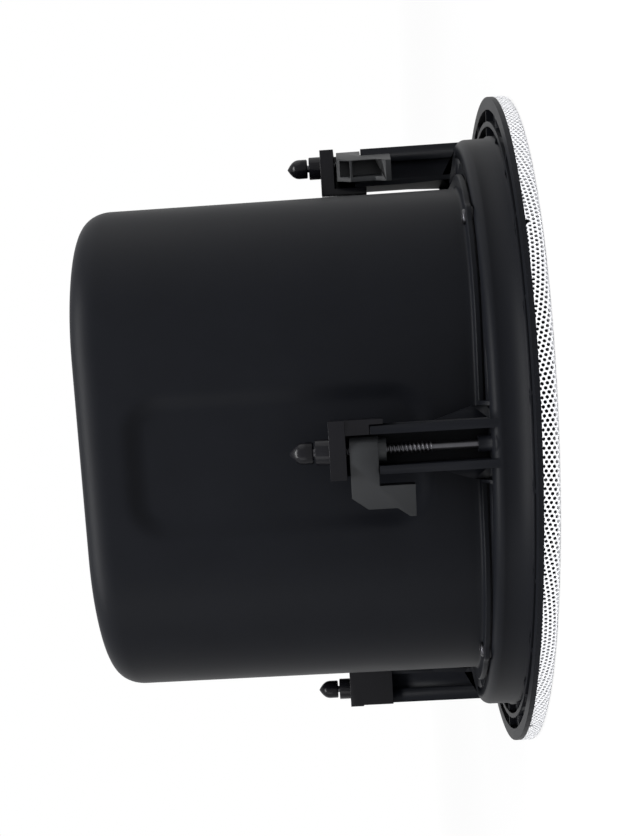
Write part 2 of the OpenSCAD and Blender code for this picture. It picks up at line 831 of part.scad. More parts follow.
// Grommet: two collars with a waist that fills the cover's hole
module cable_grommet() {
    r = grommet_bore_d / 2;
    color("black") translate([0, grommet_y, z_cover]) rotate_extrude() {
        translate([r, -1.8]) square([4, 1.8]);
        translate([r, -0.1]) square([2, cover_t + 0.2]);
        translate([r, cover_t]) square([4, 1.8]);
    }
}

module selector_knob() {
    z = z_plate - 0.6;
    color(dark) rotate([0, 0, 45]) translate([selector_r, 0, 0]) {
        translate([0, 0, z - 6]) cylinder(h = 6, r = knob_r);
        translate([-knob_r + 0.5, -1.2, z - 7.4]) cube([2 * knob_r - 1, 2.4, 1.5]);
        translate([0, 0, z - 1]) cylinder(h = plate_t + 2, r = knob_shaft_r);
    }
}

module selector_switch() {
    color(dark) rotate([0, 0, 45]) translate([selector_r, 0, z_drum]) difference() {
        cylinder(h = 12, r = switch_r);
        translate([0, 0, -1]) cylinder(h = 8, r = knob_shaft_r + 0.4);
    }
}

module damping_pad() {
    half = can_w / 2 - can_wall - panel_depth - 0.5;
    t = 8;
    color("gainsboro") translate([0, 0, z_motor + 12]) linear_extrude(30) difference() {
        rounded_rect(2 * half, 2 * half, can_corner_r - 6);
        rounded_rect(2 * half - 2 * t, 2 * half - 2 * t, can_corner_r - 6 - t);
    }
}

baffle();
back_can();
can_gasket();
can_screws();
grille();
grille_magnets();
clamp_arm(0);  // clamp_arm_1
clamp_arm(1);  // clamp_arm_2
clamp_arm(2);  // clamp_arm_3
clamp_arm(3);  // clamp_arm_4
clamp_screw(0);  // clamp_screw_1
clamp_screw(1);  // clamp_screw_2
clamp_screw(2);  // clamp_screw_3
clamp_screw(3);  // clamp_screw_4
clamp_cap(0);  // clamp_cap_1
clamp_cap(1);  // clamp_cap_2
clamp_cap(2);  // clamp_cap_3
clamp_cap(3);  // clamp_cap_4
screw_tip(0);  // screw_tip_1
screw_tip(1);  // screw_tip_2
screw_tip(2);  // screw_tip_3
screw_tip(3);  // screw_tip_4
woofer_frame();
woofer_gasket();
woofer_screws();
cone();
surround();
coil_former();
coil_winding();
spider();
front_pole_plate();
ferrite_magnet();
rear_pole_plate();
tweeter_stem();
stem_nut();
tweeter_housing();
tweeter_magnet();
tweeter_dome();
tweeter_ring();
crossover_board();
board_posts();
crossover_coil();
crossover_capacitors();
transformer_core();
transformer_winding();
transformer_bracket();
transformer_screws();
terminal_block();
terminal_screws();
wiring_cover();
cover_screws();
cable_grommet();
selector_knob();
selector_switch();
damping_pad();
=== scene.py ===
import json
import math

import bmesh
import bpy
import numpy as np
from mathutils import Matrix, Vector


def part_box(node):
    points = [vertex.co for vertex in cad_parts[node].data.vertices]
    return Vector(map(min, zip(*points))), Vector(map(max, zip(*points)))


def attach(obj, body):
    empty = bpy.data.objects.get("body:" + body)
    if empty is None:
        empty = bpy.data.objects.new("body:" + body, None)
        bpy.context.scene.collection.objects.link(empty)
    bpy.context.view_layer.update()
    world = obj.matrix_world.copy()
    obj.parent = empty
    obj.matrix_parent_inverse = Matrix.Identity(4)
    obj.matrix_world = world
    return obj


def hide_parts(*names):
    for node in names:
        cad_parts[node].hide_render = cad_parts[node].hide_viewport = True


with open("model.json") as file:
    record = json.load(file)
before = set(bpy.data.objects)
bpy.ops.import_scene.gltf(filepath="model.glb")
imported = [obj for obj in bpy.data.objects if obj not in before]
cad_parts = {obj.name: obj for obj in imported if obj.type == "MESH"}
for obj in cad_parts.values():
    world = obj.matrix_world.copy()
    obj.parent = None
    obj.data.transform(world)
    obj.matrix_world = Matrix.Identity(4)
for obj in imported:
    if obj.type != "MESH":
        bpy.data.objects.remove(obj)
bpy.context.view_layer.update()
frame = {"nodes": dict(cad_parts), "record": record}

bl_info = {
    "name": "Ceiling loudspeaker finish",
    "version": (1, 0, 0),
    "blender": (4, 5, 0),
    "location": "3D View > Sidebar > Loudspeaker",
    "description": "Dresses a ceiling loudspeaker: can, perforated grille, clamps and studio",
    "category": "Object",
}

MM = 0.001
CLAMPS = (1, 2, 3, 4)
SIDES = np.array([(1, 0), (0, 1), (-1, 0), (0, -1)], float)


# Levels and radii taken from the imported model, in metres

def top_of(node):
    """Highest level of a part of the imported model."""
    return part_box(node)[1].z


def foot_of(node):
    """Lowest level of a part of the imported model."""
    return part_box(node)[0].z


DRUM_TOP = foot_of("can_gasket")
CAN_FOOT = foot_of("back_can")
CAN_TOP = top_of("back_can")
COVER_SEAT = foot_of("wiring_cover")
POCKET_FLOOR = foot_of("terminal_block")
FLANGE_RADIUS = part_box("grille")[1].x
CLAMP_RADIUS = (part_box("clamp_screw_1")[0].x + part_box("clamp_screw_1")[1].x) / 2


def length(label, hint, value, **extra):
    """A length property with its default in millimetres."""
    return bpy.props.FloatProperty(name=label, description=hint, default=value * MM,
                                   unit="LENGTH", precision=5, **extra)


def colour(label, hint, value):
    """A colour property; the value is a linear red, green and blue."""
    return bpy.props.FloatVectorProperty(name=label, description=hint, default=value, size=3,
                                         min=0.0, max=1.0, subtype="COLOR")


def share(label, hint, value, high=1.0):
    """A plain factor."""
    return bpy.props.FloatProperty(name=label, description=hint, default=value, min=0.0,
                                   max=high, subtype="FACTOR")


def power(label, hint, value):
    """The power of a lamp in watts."""
    return bpy.props.FloatProperty(name=label, description=hint, default=value, min=0.0,
                                   max=100.0, unit="POWER")


class CanSizes(bpy.types.PropertyGroup):
    """Sizes of the moulded back can."""
    half: length("Half width", "Half of the can's width across its flat sides", 100.8)
    flat: length("Flat", "Length of the flat part of each side", 76)
    wall: length("Wall", "Thickness of the can's wall", 2.5)
    edge_across: length("Edge across", "Reach of the rear edge's rounding across the face", 7.5)
    edge_down: length("Edge down", "Reach of the rear edge's rounding down the side", 11)
    crown: length("Crown", "How much the rear face rises towards its centre", 0.2)
    rim_reach: length("Rim reach", "Overhang of the mouth flange", 5.5)
    rim_height: length("Rim height", "Thickness of the mouth flange", 2)
    ear_radius: length("Ear radius", "Radius of the ear round each corner screw", 4.6)
    panel_length: length("Panel length", "Height of the sunk panel along the can", 120)
    panel_width: length("Panel width", "Width of the sunk panel", 58)
    panel_depth: length("Panel depth", "Depth of the sunk panel", 2.5)
    panel_slope: length("Panel slope", "Width of the panel's soft border", 8.5)
    panel_shift: length("Panel shift", "Offset of the panel towards the folded arm", 3.5)
    panel_from: length("Panel start", "Distance of the panel from the drum", 19)
    pocket_length: length("Pocket length", "Length of the wiring pocket", 90)
    pocket_width: length("Pocket width", "Width of the wiring pocket", 60)
    pocket_step: length("Pocket step", "Width of the ledge that carries the cover", 5)
    pocket_place: length("Pocket place", "Offset of the pocket from the axis", -38)


class GrilleSizes(bpy.types.PropertyGroup):
    """Sizes of the perforated grille."""
    sheet: length("Sheet", "Thickness of the steel sheet", 0.7)
    edge: length("Edge", "Outer radius of the rolled edge", 2)
    depth: length("Depth", "Height of the rolled rim", 6)
    pitch: length("Pitch", "Distance from hole to hole", 1.87)
    hole: length("Hole", "Across-corners size of a hole", 1.45)
    notch_depth: length("Notch depth", "Depth of the notches for pulling the grille off", 1.5)
    notch_width: length("Notch width", "Width of the notches", 2.2)


class ScrewSizes(bpy.types.PropertyGroup):
    """Sizes of the clamp screws and their tips."""
    pitch: length("Thread pitch", "Pitch of the clamp screw's thread", 1.5)
    thread: length("Thread radius", "Outer radius of the thread", 1.95)
    core: length("Core radius", "Root radius of the thread", 1.45)
    shank: length("Shank radius", "Radius of the plain shank", 1.5)
    thread_from: length("Thread start", "Height over the drum at which the thread starts", 21.3)


class FinishColours(bpy.types.PropertyGroup):
    """Colours of the main finishes."""
    moulded: colour("Moulded black", "Satin black of the baffle and the can",
                    (0.0048, 0.0053, 0.0070))
    cap: colour("Cap black", "Black of the caps and the screw tips", (0.0048, 0.0048, 0.0062))
    arm: colour("Clamp grey", "Dark grey of the swinging arms", (0.020, 0.021, 0.0225))
    grille: colour("Grille white", "White powder coat of the grille", (0.80, 0.805, 0.82))
    steel: colour("Screw steel", "Zinc-plated steel of the screws", (0.08, 0.08, 0.087))


class StudioSettings(bpy.types.PropertyGroup):
    """Light and camera of the studio."""
    ambient: share("Ambient", "Strength of the world's light on the object", 0.15, 2.0)
    key: power("Key", "Power of the large lamp beside the object", 1.7)
    low: power("Low strip", "Power of the strip lamp on the camera's side", 2.0)
    rear: power("Rear strip", "Power of the strip lamp over the can's rear face", 11.5)
    floor_share: share("Floor white", "Share of plain white in the floor near the object", 0.92)


class SpeakerSettings(bpy.types.PropertyGroup):
    """All settings of the loudspeaker."""
    can: bpy.props.PointerProperty(type=CanSizes)
    grille: bpy.props.PointerProperty(type=GrilleSizes)
    screw: bpy.props.PointerProperty(type=ScrewSizes)
    colours: bpy.props.PointerProperty(type=FinishColours)
    studio: bpy.props.PointerProperty(type=StudioSettings)


# Meshes from whole arrays

def face_outwards(points, faces):
    """Turns all faces round when their volume, summed as signed tetrahedra, is negative."""
    total = 0.0
    for part in faces:
        a, b, c = points[part[:, 0]], points[part[:, 1]], points[part[:, 2]]
        total += np.einsum("ij,ij->", a, np.cross(b, c))
        if part.shape[1] == 4:
            total += np.einsum("ij,ij->", a, np.cross(c, points[part[:, 3]]))
    return faces if total > 0 else [part[:, ::-1] for part in faces]


def build_mesh(name, points, faces, sharp_degrees=40.0):
    """A mesh from an array of points and a list of face arrays, shaded smooth up to an angle."""
    mesh = bpy.data.meshes.new(name)
    corners = np.concatenate([part.ravel() for part in faces]).astype(np.int32)
    sizes = np.concatenate([np.full(len(part), part.shape[1]) for part in faces])
    starts = np.concatenate([[0], np.cumsum(sizes)[:-1]]).astype(np.int32)
    mesh.vertices.add(len(points))
    mesh.vertices.foreach_set("co", np.asarray(points, np.float32).ravel())
    mesh.loops.add(len(corners))
    mesh.loops.foreach_set("vertex_index", corners)
    mesh.polygons.add(len(sizes))
    mesh.polygons.foreach_set("loop_start", starts)
    mesh.update(calc_edges=True)
    mesh.validate()
    mesh.shade_smooth()
    mesh.set_sharp_from_angle(angle=math.radians(sharp_degrees))
    return mesh


def place(name, mesh, finish, body, nodes=()):
    """Links a finished mesh as a piece that rides on a body and stands for some nodes."""
    piece = bpy.data.objects.new(name, mesh)
    bpy.context.scene.collection.objects.link(piece)
    piece.data.materials.clear()
    piece.data.materials.append(finish)
    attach(piece, body)
    if nodes:
        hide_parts(*nodes)
    return piece


def ring_faces(rings, count):
    """Quads between successive closed rings of points, and a fan round each end's centre.

    Ring k holds points k * count onwards; the two centre points follow the last ring."""
    k, j = np.meshgrid(np.arange(rings - 1), np.arange(count), indexing="ij")
    here, side = k * count + j, k * count + (j + 1) % count
    quads = np.stack([here, side, side + count, here + count], -1).reshape(-1, 4)
    j = np.arange(count)
    first, last = rings * count, rings * count + 1
    foot = np.stack([np.full(count, first), (j + 1) % count, j], -1)
    top_start = (rings - 1) * count
    top = np.stack([np.full(count, last), top_start + j, top_start + (j + 1) % count], -1)
    return [quads, foot, top]


def lathe(profile, count, shift=None):
    """A turned body: each profile point (radius, height) becomes a ring of points on a circle.

    shift(angle, height) is added to the radius of each point. The ends are closed on the axis."""
    radius, height = np.asarray(profile, float).T
    angle = np.linspace(0, 2 * math.pi, count, endpoint=False)
    r = np.repeat(radius[:, None], count, 1)
    if shift is not None:
        r = r + shift(angle[None, :], height[:, None])
    z = np.repeat(height[:, None], count, 1)
    rings = np.stack([r * np.cos(angle), r * np.sin(angle), z], -1).reshape(-1, 3)
    ends = [[0, 0, height[0]], [0, 0, height[-1]]]
    points = np.vstack([rings, ends])
    return points, face_outwards(points, ring_faces(len(radius), count))


def clamp_axes(number):
    """The directions outwards and across at a clamp, a quarter turn apart from the next one."""
    turn = math.radians(90 * (number - 1))
    return (Vector((math.cos(turn), math.sin(turn), 0)),
            Vector((-math.sin(turn), math.cos(turn), 0)))


def smooth_step(t):
    """Rises from 0 to 1 between t = 0 and t = 1 as 3 t squared less 2 t cubed."""
    t = np.clip(t, 0, 1)
    return t * t * (3 - 2 * t)


# The back can

# Points on each flat side and on each corner of an outline, then sizes that stay fixed
FLAT_STEPS = 48
ARC_STEPS = 44
PANEL_CORNER = 8 * MM
MOUTH_FILLET = 1.2 * MM
RIM_BREAK = 0.4 * MM
POCKET_SOFT = 0.7 * MM
POCKET_CORNER = 4 * MM
SEAT_THICKNESS = 4 * MM
SCREW_INSET = 3 * MM


def rounded_outline(half_x, half_y, radius, centre_y=0.0):
    """Points round a rectangle with round corners, as many on each side and on each corner."""
    along = np.linspace(-1, 1, FLAT_STEPS, endpoint=False)
    turn = np.linspace(0, math.pi / 2, ARC_STEPS, endpoint=False)
    parts = []
    for side, out in enumerate(SIDES):
        left = np.array([-out[1], out[0]])
        reach = half_x if side % 2 == 0 else half_y
        run = (half_y if side % 2 == 0 else half_x) - radius
        parts.append(out * reach + np.outer(along * run, left))
        corner = out * (reach - radius) + left * run
        arc = np.outer(np.cos(turn), out) + np.outer(np.sin(turn), left)
        parts.append(corner + radius * arc)
    outline = np.vstack(parts)
    outline[:, 1] += centre_y
    return outline


def panel_sink(outline, level, can):
    """Moves the points of one ring inwards at the sunk panels beside the clamps.

    The depth falls off smoothly with the distance from a round-cornered rectangle: full inside
    it, none beyond the width of the slope."""
    centre_z = DRUM_TOP + can.panel_from + can.panel_length / 2
    half_along = can.panel_width / 2 - can.panel_slope - PANEL_CORNER
    half_up = can.panel_length / 2 - can.panel_slope - PANEL_CORNER
    sunk = outline.copy()
    for side, out in enumerate(SIDES):
        left = np.array([-out[1], out[0]])
        start = side * (FLAT_STEPS + ARC_STEPS)
        rows = slice(start, start + FLAT_STEPS)
        across = np.abs(outline[rows] @ left + can.panel_shift) - half_along
        up = abs(level - centre_z) - half_up
        outside = np.hypot(np.maximum(across, 0), max(up, 0))
        away = outside + np.minimum(np.maximum(across, up), 0) - PANEL_CORNER
        depth = can.panel_depth * (1 - smooth_step(away / can.panel_slope))
        sunk[rows] -= depth[:, None] * out
    return sunk


def rim_outline(can, inset):
    """The mouth flange's outline: the can's outline made wider, with an ear at each corner screw.

    Along each direction it reaches the further of the outline and the ear's circle."""
    half = can.half + can.rim_reach - inset
    outline = rounded_outline(half, half, half - can.flat / 2)
    screw_radius = (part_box("can_screws")[1].x - SCREW_INSET) * math.sqrt(2)
    ear = can.ear_radius - inset
    angle = np.arctan2(outline[:, 1], outline[:, 0])
    off = angle % (math.pi / 2) - math.pi / 4
    side = screw_radius * np.sin(off)
    reach = screw_radius * np.cos(off) + np.sqrt(np.maximum(ear ** 2 - side ** 2, 0))
    reach = np.where(np.abs(side) < ear, reach, 0)
    radius = np.hypot(outline[:, 0], outline[:, 1])
    limit = CLAMP_RADIUS + 5 * MM
    return outline * (np.minimum(np.maximum(radius, reach), limit) / radius)[:, None]


def can_rings(can):
    """All rings of the can, from the wiring pocket's floor over the outside to the inside."""
    radius = can.half - can.flat / 2
    rings = []

    def add(outline, level):
        z = np.full((len(outline), 1), level) if np.isscalar(level) else level[:, None]
        rings.append(np.hstack([outline, z]))

    def pocket(inset):
        return rounded_outline(can.pocket_length / 2 - inset, can.pocket_width / 2 - inset,
                               max(POCKET_CORNER - inset * 0.4, POCKET_CORNER / 2),
                               can.pocket_place)

    def square(inset):
        return rounded_outline(can.half - inset, can.half - inset, radius - inset)

    def crowned(outline):
        far = np.hypot(outline[:, 0], outline[:, 1]) / can.half
        return CAN_TOP - can.crown * far ** 2

    step = can.pocket_step
    soft = POCKET_SOFT
    add(pocket(step), POCKET_FLOOR)
    add(pocket(step), COVER_SEAT - soft)
    add(pocket(step - soft), COVER_SEAT)
    add(pocket(0.0), COVER_SEAT)
    top = crowned(pocket(0.0))
    add(pocket(0.0), top - soft)
    for turn in (0.3, 0.65):
        add(pocket(-soft * turn * turn), top - soft * (1 - math.sqrt(turn)))
    add(pocket(-soft), crowned(pocket(-soft)))
    inner, outer = pocket(-2 * soft), square(can.edge_across)
    for part in np.linspace(0, 1, 12):
        outline = inner + (outer - inner) * part
        add(outline, crowned(outline))
    edge_top = crowned(outer)
    side_top = CAN_TOP - can.crown - can.edge_down
    for turn in np.radians(np.linspace(7.5, 90, 12)):
        outline = square(can.edge_across * (1 - math.sin(turn)))
        add(outline, side_top + (edge_top - side_top) * math.cos(turn))
    rim_top = CAN_FOOT + can.rim_height
    for level in np.linspace(side_top, rim_top + MOUTH_FILLET, 70)[1:]:
        add(panel_sink(square(0.0), level, can), level)
    for turn in np.radians((30, 60, 90)):
        add(square(MOUTH_FILLET * (math.cos(turn) - 1)),
            rim_top + MOUTH_FILLET * (1 - math.sin(turn)))
    add(rim_outline(can, RIM_BREAK), rim_top)
    add(rim_outline(can, 0.0), rim_top - RIM_BREAK)
    add(rim_outline(can, 0.0), CAN_FOOT)
    add(square(can.wall), CAN_FOOT)
    inside_top = CAN_TOP - can.crown - can.wall - can.edge_down
    for level in np.linspace(CAN_FOOT, inside_top, 34)[1:]:
        add(panel_sink(square(can.wall), level, can), level)
    for turn in np.radians((30, 60, 90)):
        reach = can.wall + can.edge_across * (1 - math.cos(turn))
        add(square(reach), inside_top + can.edge_down * math.sin(turn))
    ceiling = inside_top + can.edge_down
    add(pocket(-can.wall), ceiling)
    add(pocket(-can.wall), COVER_SEAT - SEAT_THICKNESS)
    add(pocket(step - can.wall), COVER_SEAT - SEAT_THICKNESS)
    add(pocket(step - can.wall), POCKET_FLOOR - can.wall)
    return rings


# The perforated grille

# Direction of the first of the four notches, in degrees
NOTCH_ANGLE = 33.0


def sheet_lattice(pitch, hole, reach):
    """Corner points and web faces of a flat sheet with six-sided holes on a triangular lattice.

    Hole (i, j) lies at pitch * (i + j / 2, j * root 3 / 2). Its six corners point at the gaps
    between its neighbours, so the web is a quad between two holes and a triangle between three."""
    count = int(reach / pitch * 1.2) + 3
    i, j = np.meshgrid(np.arange(-count, count + 1), np.arange(-count, count + 1), indexing="ij")
    centre = pitch * np.stack([i + j / 2, j * math.sqrt(3) / 2], -1)
    keep = np.hypot(centre[..., 0], centre[..., 1]) < reach + pitch
    number = np.full(keep.shape, -1)
    number[keep] = np.arange(keep.sum())
    corner = np.radians(30 + 60 * np.arange(6))
    ring = hole / 2 * np.stack([np.cos(corner), np.sin(corner)], -1)
    points = (centre[keep][:, None, :] + ring[None]).reshape(-1, 2)

    def overlap(step, size):
        return slice(max(step, 0), size + min(step, 0))

    def neighbour(di, dj):
        rows, columns = number.shape
        moved = np.full_like(number, -1)
        moved[overlap(-di, rows), overlap(-dj, columns)] = number[overlap(di, rows),
                                                                  overlap(dj, columns)]
        return moved[keep]

    own = number[keep]
    east, north_east, north_west = neighbour(1, 0), neighbour(0, 1), neighbour(-1, 1)
    quads = []
    for k, other in enumerate((east, north_east, north_west)):
        ok = other >= 0
        a, b = own[ok] * 6, other[ok] * 6
        quads.append(np.stack([a + (k + 5) % 6, b + (k + 3) % 6, b + (k + 2) % 6, a + k], -1))
    triangles = []
    pairs = ((east, north_east, (0, 2, 4)), (north_east, north_west, (1, 3, 5)))
    for first, second, corners in pairs:
        ok = (first >= 0) & (second >= 0)
        triangles.append(np.stack([own[ok] * 6 + corners[0], first[ok] * 6 + corners[1],
                                   second[ok] * 6 + corners[2]], -1))
    return points, np.vstack(quads), np.vstack(triangles)


def rim_wrap(distance, grille, inward):
    """Radius and height of a point of the sheet at a flat distance from the centre.

    The sheet is flat up to the rolled edge, follows a quarter circle there, then runs up."""
    start = FLANGE_RADIUS - grille.edge
    arc = grille.edge * math.pi / 2
    turn = np.clip((distance - start) / grille.edge, 0, math.pi / 2)
    bend = grille.edge - inward
    radius = np.minimum(distance, start) + bend * np.sin(turn)
    height = grille.edge - bend * np.cos(turn) + np.maximum(distance - start - arc, 0)
    return radius, height


def edge_walls(faces, count):
    """Quads that join the border edges of the front faces to the same edges of the back."""
    pairs = []
    for part in faces:
        for k in range(part.shape[1]):
            pairs.append(np.stack([part[:, k], part[:, (k + 1) % part.shape[1]]], -1))
    pairs = np.vstack(pairs)
    key = np.minimum(pairs[:, 0], pairs[:, 1]) * count + np.maximum(pairs[:, 0], pairs[:, 1])
    _, inverse, uses = np.unique(key, return_inverse=True, return_counts=True)
    open_edge = pairs[uses[inverse] == 1]
    return np.stack([open_edge[:, 1], open_edge[:, 0], open_edge[:, 0] + count,
                     open_edge[:, 1] + count], -1)


def grille_sheet(grille):
    """The whole grille: front, back and hole walls, with each point's flat distance."""
    end = FLANGE_RADIUS - grille.edge + grille.edge * math.pi / 2 + grille.depth - grille.edge
    flat, quads, triangles = sheet_lattice(grille.pitch, grille.hole, end)
    distance = np.hypot(flat[:, 0], flat[:, 1])
    angle = np.arctan2(flat[:, 1], flat[:, 0])
    quarter = (np.degrees(angle) - NOTCH_ANGLE + 45) % 90 - 45
    in_notch = np.abs(np.radians(quarter)) * FLANGE_RADIUS < grille.notch_width / 2
    limit = end - grille.notch_depth * in_notch
    cut = distance >= limit
    distance = np.minimum(distance, limit)
    quads = quads[~cut[quads].all(1)]
    triangles = triangles[~cut[triangles].all(1)]
    layers = []
    for inward in (0.0, grille.sheet):
        radius, height = rim_wrap(distance, grille, inward)
        layers.append(np.stack([radius * np.cos(angle), radius * np.sin(angle), height], -1))
    count = len(flat)
    walls = edge_walls([quads, triangles], count)
    faces = [quads, triangles, quads[:, ::-1] + count, triangles[:, ::-1] + count, walls]
    return np.vstack(layers), faces, np.tile(distance, 2)


def only_used(points, faces):
    """Drops the points that no face uses."""
    used = np.unique(np.concatenate([part.ravel() for part in faces]))
    number = np.zeros(len(points), np.int64)
    number[used] = np.arange(len(used))
    return points[used], [number[part] for part in faces]


# Materials

class Wire:
    """A number that runs between nodes and takes part in Python arithmetic."""

    def __init__(self, finish, socket):
        self.finish = finish
        self.socket = socket

    def __add__(self, other):
        return self.finish.maths("ADD", self, other)

    def __mul__(self, other):
        return self.finish.maths("MULTIPLY", self, other)


class Finish:
    """A material under construction, with one method that adds any node."""

    def __init__(self, name):
        self.material = bpy.data.materials.new(name)
        self.material.use_nodes = True
        self.tree = self.material.node_tree
        self.tree.nodes.clear()
        output = self.tree.nodes.new("ShaderNodeOutputMaterial")
        self.shader = self.tree.nodes.new("ShaderNodeBsdfPrincipled")
        self.tree.links.new(self.shader.outputs[0], output.inputs[0])
        self.where = self.node("ShaderNodeTexCoord", output="Object")

    def node(self, kind, settings=(), inputs=(), output=0):
        """Adds a node: first its settings, then the values or wires of its sockets."""
        made = self.tree.nodes.new(kind)
        for name, value in dict(settings).items():
            setattr(made, name, value)
        for name, value in dict(inputs).items():
            if isinstance(value, Wire):
                self.tree.links.new(value.socket, made.inputs[name])
            else:
                made.inputs[name].default_value = value
        return Wire(self, made.outputs[output])

    def maths(self, operation, first, second):
        return self.node("ShaderNodeMath", {"operation": operation}, {0: first, 1: second})

    def noise(self, size, detail=2.0):
        """Soft noise from 0 to 1 whose cells measure about size, in metres."""
        return self.node("ShaderNodeTexNoise", (),
                         {"Vector": self.where, "Scale": 1 / size, "Detail": detail})

    def blend(self, factor, first, second):
        """A colour between two others."""
        return self.node("ShaderNodeMix", {"data_type": "RGBA"},
                         {0: factor, 6: (*first, 1.0), 7: (*second, 1.0)}, output=2)

    def relief(self, height, depth, normal=None):
        """A bump from a height of 0 to 1 over a depth in metres."""
        inputs = {"Height": height, "Distance": depth, "Strength": 1.0}
        if normal is not None:
            inputs["Normal"] = normal
        return self.node("ShaderNodeBump", (), inputs)

    def worn_edge(self, radius):
        """A normal that rounds sharp edges over a radius."""
        return self.node("ShaderNodeBevel", {"samples": 4}, {"Radius": radius})

    def surface(self, **inputs):
        """Sets sockets of the surface shader, by their names with underscores for spaces."""
        for name, value in inputs.items():
            socket = self.shader.inputs[name.replace("_", " ")]
            if isinstance(value, Wire):
                self.tree.links.new(value.socket, socket)
            else:
                socket.default_value = value
        return self.material


def tint(base, factor):
    """A colour made lighter or darker."""
    return tuple(min(1.0, part * factor) for part in base)


def satin_plastic(name, base, roughness, gloss, grain=0.35 * MM, edge=0.25 * MM):
    """Moulded plastic: an even fine grain, slightly cloudy sheen and softened edges."""
    finish = Finish(name)
    cloud = finish.noise(22 * MM)
    fine = finish.noise(grain, 3.0)
    return finish.surface(
        Base_Color=finish.blend(cloud, tint(base, 0.86), tint(base, 1.16)),
        Roughness=cloud * 0.06 + fine * 0.05 + (roughness - 0.055),
        Specular_IOR_Level=gloss,
        Normal=finish.relief(fine, 0.012 * MM, finish.worn_edge(edge) if edge else None))


def plated_steel(name, base, roughness, edge=0.15 * MM):
    """Plated steel: turned streaks round the part and a few dull patches."""
    finish = Finish(name)
    streak = finish.noise(0.5 * MM, 4.0)
    patch = finish.noise(4 * MM)
    return finish.surface(
        Base_Color=finish.blend(patch, tint(base, 0.8), tint(base, 1.12)),
        Metallic=1.0,
        Roughness=patch * 0.12 + streak * 0.08 + (roughness - 0.1),
        Normal=finish.relief(streak, 0.008 * MM, finish.worn_edge(edge)))


def powder_coat(name, base, roughness):
    """Powder coat: a fine orange peel over an even colour."""
    finish = Finish(name)
    peel = finish.noise(0.9 * MM, 2.0)
    cloud = finish.noise(40 * MM)
    return finish.surface(
        Base_Color=finish.blend(cloud, tint(base, 0.97), tint(base, 1.02)),
        Roughness=peel * 0.08 + (roughness - 0.04),
        Specular_IOR_Level=0.4,
        Normal=finish.relief(peel, 0.015 * MM))


def matt_solid(name, base, roughness, grain, depth, variation=0.25):
    """A matt stuff such as rubber, card, ferrite or felt: grain in its colour and its relief."""
    finish = Finish(name)
    coarse = finish.noise(grain * 6, 3.0)
    fine = finish.noise(grain, 4.0)
    return finish.surface(
        Base_Color=finish.blend(coarse, tint(base, 1 - variation), tint(base, 1 + variation)),
        Roughness=fine * 0.15 + (roughness - 0.07),
        Specular_IOR_Level=0.25,
        Normal=finish.relief(fine, depth))


def woven(name, base, thread):
    """Cloth or a wound coil: crossed threads as two waves over each other."""
    finish = Finish(name)
    inputs = {"Vector": finish.where, "Scale": 0.31 / thread, "Distortion": 0.4}
    waves = [finish.node("ShaderNodeTexWave", {"wave_type": "BANDS", "bands_direction": axis},
                         inputs, output=1) for axis in ("X", "Z")]
    weave = waves[0] * 0.5 + waves[1] * 0.5
    return finish.surface(
        Base_Color=finish.blend(weave, tint(base, 0.65), tint(base, 1.2)),
        Roughness=weave * 0.2 + 0.5,
        Normal=finish.relief(weave, 0.1 * MM))


def make_finishes(colours):
    """One material for each of the record's slots."""
    return {
        "moulded_black": satin_plastic("moulded black", colours.moulded, 0.47, 0.06),
        "cap_black": satin_plastic("cap black", colours.cap, 0.25, 0.12),
        "arm_grey": satin_plastic("clamp grey", colours.arm, 0.45, 0.12),
        "screw_steel": plated_steel("plated steel", colours.steel, 0.42),
        "black_screw": plated_steel("blackened steel", (0.05, 0.05, 0.055), 0.4),
        "grille_paint": powder_coat("white powder coat", colours.grille, 0.42),
        "magnet_nickel": plated_steel("nickel plate", (0.62, 0.6, 0.57), 0.2),
        "foam_seal": matt_solid("foam seal", (0.02, 0.02, 0.022), 0.9, 0.4 * MM, 0.1 * MM),
        "frame_paint": powder_coat("black frame paint", (0.02, 0.021, 0.023), 0.45),
        "cone_plastic": satin_plastic("cone", (0.024, 0.025, 0.028), 0.45, 0.35, 1.2 * MM, 0.0),
        "surround_rubber": matt_solid("surround rubber", (0.014, 0.014, 0.015), 0.6, 0.3 * MM,
                                      0.02 * MM),
        "former_paper": matt_solid("former paper", (0.42, 0.26, 0.12), 0.8, 0.6 * MM, 0.03 * MM),
        "copper_wire": woven("copper wire", (0.55, 0.2, 0.06), 0.4 * MM),
        "spider_cloth": woven("spider cloth", (0.5, 0.33, 0.12), 0.7 * MM),
        "pole_steel": plated_steel("pole plate", (0.4, 0.4, 0.38), 0.45),
        "ferrite": matt_solid("ferrite", (0.035, 0.034, 0.036), 0.6, 0.5 * MM, 0.05 * MM),
        "dome_cloth": woven("dome cloth", (0.05, 0.05, 0.055), 0.4 * MM),
        "board_green": matt_solid("board", (0.02, 0.11, 0.05), 0.4, 1.5 * MM, 0.01 * MM, 0.15),
        "capacitor_film": matt_solid("capacitor film", (0.5, 0.3, 0.03), 0.3, 2 * MM, 0.01 * MM,
                                     0.1),
        "winding_tape": matt_solid("winding tape", (0.55, 0.42, 0.12), 0.5, 1 * MM, 0.02 * MM,
                                   0.12),
        "wadding": matt_solid("wadding", (0.6, 0.6, 0.58), 0.95, 1.5 * MM, 0.6 * MM, 0.1),
    }


FINISHES = {}
SLOTS = {part["node"]: part["material_slot"] for part in frame["record"]["subparts"]}


class SPEAKER_OT_finishes(bpy.types.Operator):
    """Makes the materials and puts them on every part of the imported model"""
    bl_idname = "speaker.finishes"
    bl_label = "Finishes"

    def execute(self, context):
        FINISHES.update(make_finishes(context.scene.speaker.colours))
        for name, node in frame["nodes"].items():
            node.data.materials.clear()
            node.data.materials.append(FINISHES[SLOTS[name]])
        return {"FINISHED"}


